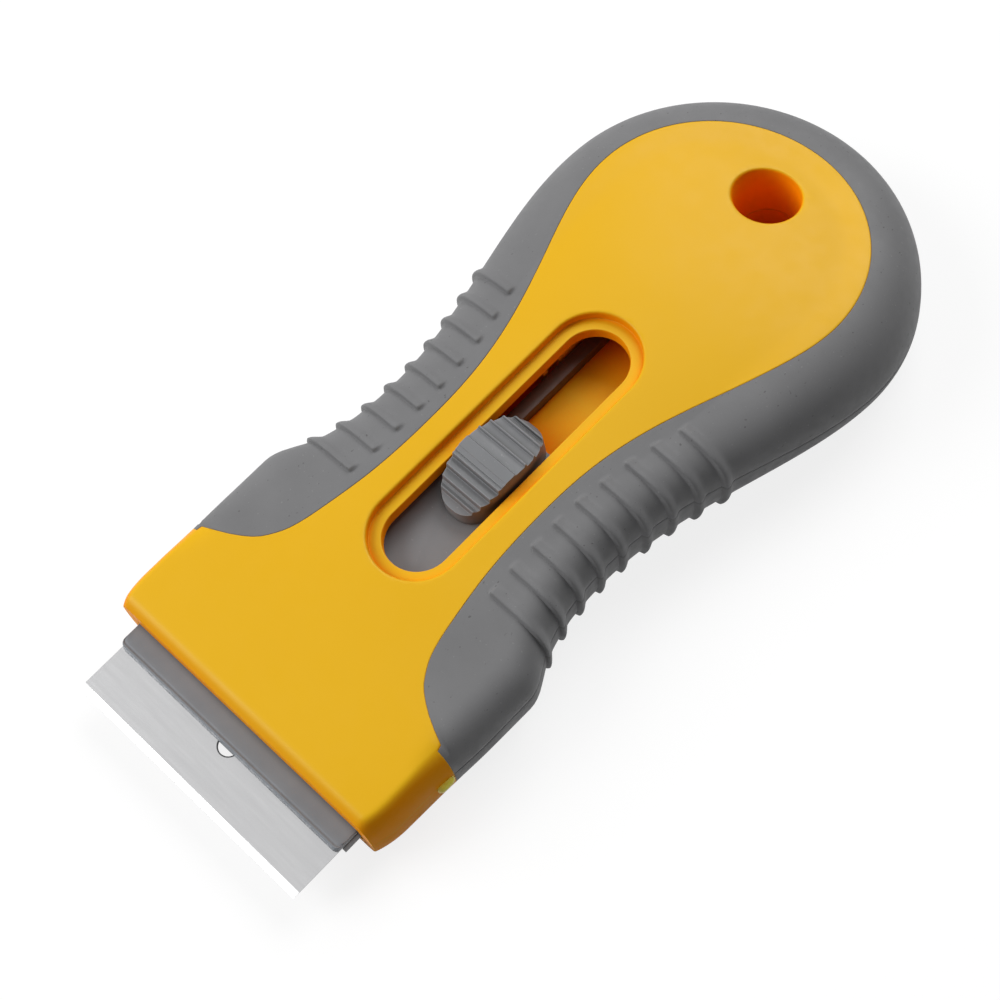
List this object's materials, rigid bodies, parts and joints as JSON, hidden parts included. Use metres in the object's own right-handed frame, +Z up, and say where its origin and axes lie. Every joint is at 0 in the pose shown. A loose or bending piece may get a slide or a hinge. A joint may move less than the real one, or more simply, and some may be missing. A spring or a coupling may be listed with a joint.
{
  "type": "razor blade scraper",
  "caption": "Hand scraper with a retractable wide razor blade, a thumb slider in a contoured soft-grip handle and a hanging hole.",
  "frame": {"origin": "middle of the bounding box's bottom face, on the surface the flat back lies on", "axes": "+Y from the blade towards the hanging hole, +Z up out of the flat back through the thumb button, +X across the tool"},
  "size_m": [0.053, 0.1235, 0.0187],
  "materials": {
    "yellow_body": "satin moulded plastic",
    "grey_grip": "soft matt overmould",
    "grey_slide": "fine matt moulded plastic",
    "blade_steel": "rolled strip with a ground edge",
    "screw_steel": "plated"
  },
  "bodies": {
    "handle": {"upper_shell": "yellow_body", "lower_shell": "yellow_body", "upper_grip": "grey_grip", "lower_grip": "grey_grip", "shell_screws": "screw_steel"},
    "slider": {"blade_carrier": "grey_slide", "carrier_cover": "grey_slide", "blade": "blade_steel", "thumb_button": "grey_slide"}
  },
  "joints": [
    {"name": "blade_slide", "type": "slide", "parent": "handle", "child": "slider", "axis": [0, -0.9963, -0.0854], "range_m": [-0.0155, 0.009]}
  ]
}
